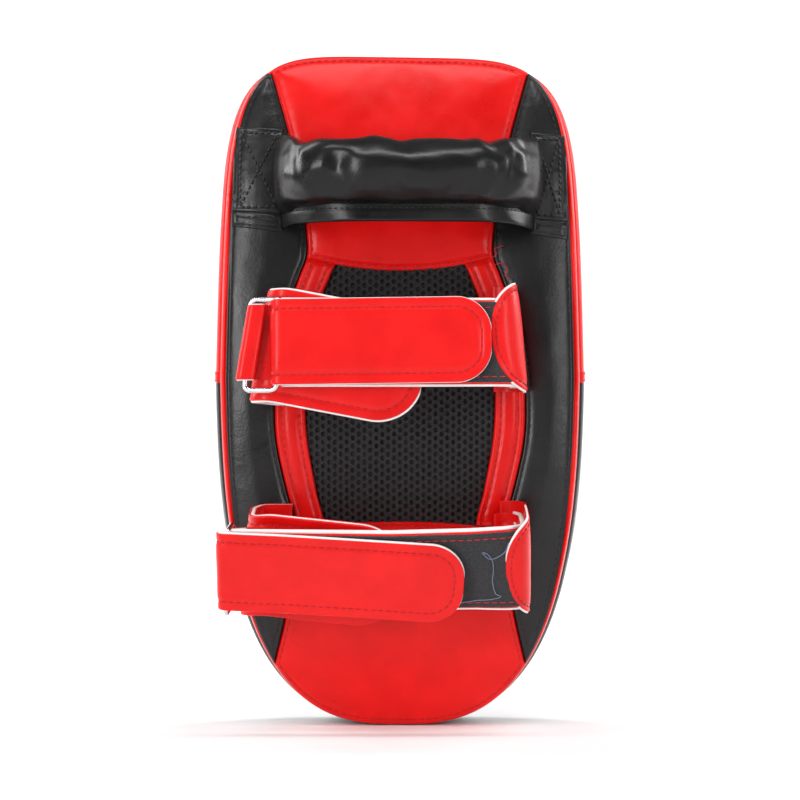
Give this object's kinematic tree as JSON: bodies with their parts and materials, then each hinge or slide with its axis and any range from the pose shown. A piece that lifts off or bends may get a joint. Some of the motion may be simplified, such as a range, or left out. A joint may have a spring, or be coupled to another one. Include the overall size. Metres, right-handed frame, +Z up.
{
  "type": "curved kick and strike pad",
  "caption": "Curved hand-held strike pad with layered foam, two-part cover, padded grab handle, mesh forearm rest and hook-and-loop forearm straps on wire rings.",
  "frame": {"origin": "crest of the convex back panel, half way up, where the forearm lies", "axes": "+Z up the pad towards the grab handle, +Y towards the strike face, +X across the pad"},
  "size_m": [0.21, 0.1446, 0.387],
  "materials": {
    "red_pu": "satin",
    "black_pu": "satin",
    "red_strap_pu": "satin",
    "white_strap_foam": "matte",
    "loop_fabric": "matte",
    "hook_fabric": "matte",
    "air_mesh": "matte",
    "sponge": "matte",
    "strike_foam": "matte",
    "core_foam": "matte",
    "board_foam": "matte",
    "steel_wire": "polished"
  },
  "bodies": {
    "pad": {"strike_foam": "strike_foam", "core_foam": "core_foam", "rear_foam": "board_foam", "side_gusset": "red_pu", "strike_cover_upper": "red_pu", "strike_cover_lower": "black_pu", "left_back_panel": "black_pu", "right_back_panel": "black_pu", "top_back_panel": "red_pu", "bottom_back_panel": "red_pu", "left_mesh_binding": "red_pu", "right_mesh_binding": "red_pu", "forearm_sponge": "sponge", "forearm_mesh": "air_mesh", "handle_left_anchor": "black_pu", "handle_right_anchor": "black_pu", "upper_strap_band": "red_strap_pu", "upper_band_foam": "white_strap_foam", "upper_loop_strip": "loop_fabric", "upper_anchor_flap": "red_strap_pu", "upper_tongue": "red_strap_pu", "upper_tongue_foam": "white_strap_foam", "upper_ring_loop": "red_strap_pu", "lower_strap_band": "red_strap_pu", "lower_band_foam": "white_strap_foam", "lower_loop_strip": "loop_fabric", "lower_anchor_flap": "red_strap_pu", "lower_tongue": "red_strap_pu", "lower_tongue_foam": "white_strap_foam", "lower_ring_loop": "red_strap_pu"},
    "grab_handle": {"handle_cover": "black_pu", "handle_foam": "core_foam"},
    "upper_ring_link": {"upper_ring": "steel_wire", "upper_strap_turn": "red_strap_pu"},
    "upper_tail": {"upper_strap_tail": "red_strap_pu", "upper_tail_foam": "white_strap_foam", "upper_hook_strip": "hook_fabric"},
    "lower_ring_link": {"lower_ring": "steel_wire", "lower_strap_turn": "red_strap_pu"},
    "lower_tail": {"lower_strap_tail": "red_strap_pu", "lower_tail_foam": "white_strap_foam", "lower_hook_strip": "hook_fabric"}
  },
  "joints": [
    {"name": "handle_swing", "type": "hinge", "parent": "pad", "child": "grab_handle", "pos_m": [0.005, 0.00753, 0.119], "axis": [1, 0, 0], "range_deg": [-15, 15], "stiffness_Nm_per_rad": 1.2},
    {"name": "upper_ring_swing", "type": "hinge", "parent": "pad", "child": "upper_ring_link", "pos_m": [-0.0825, -0.04699, 0.02566], "axis": [0, -0.014, -0.9999], "range_deg": [0, 10]},
    {"name": "upper_tail_peel", "type": "hinge", "parent": "upper_ring_link", "child": "upper_tail", "pos_m": [-0.065, -0.05149, 0.02573], "axis": [0, -0.014, -0.9999], "range_deg": [0, 150]},
    {"name": "lower_ring_swing", "type": "hinge", "parent": "pad", "child": "lower_ring_link", "pos_m": [-0.092, -0.0346, -0.09463], "axis": [0, 0.2079, -0.9781], "range_deg": [0, 10]},
    {"name": "lower_tail_peel", "type": "hinge", "parent": "lower_ring_link", "child": "lower_tail", "pos_m": [-0.094, -0.05074, -0.09806], "axis": [0, 0.2079, -0.9781], "range_deg": [0, 150]}
  ]
}
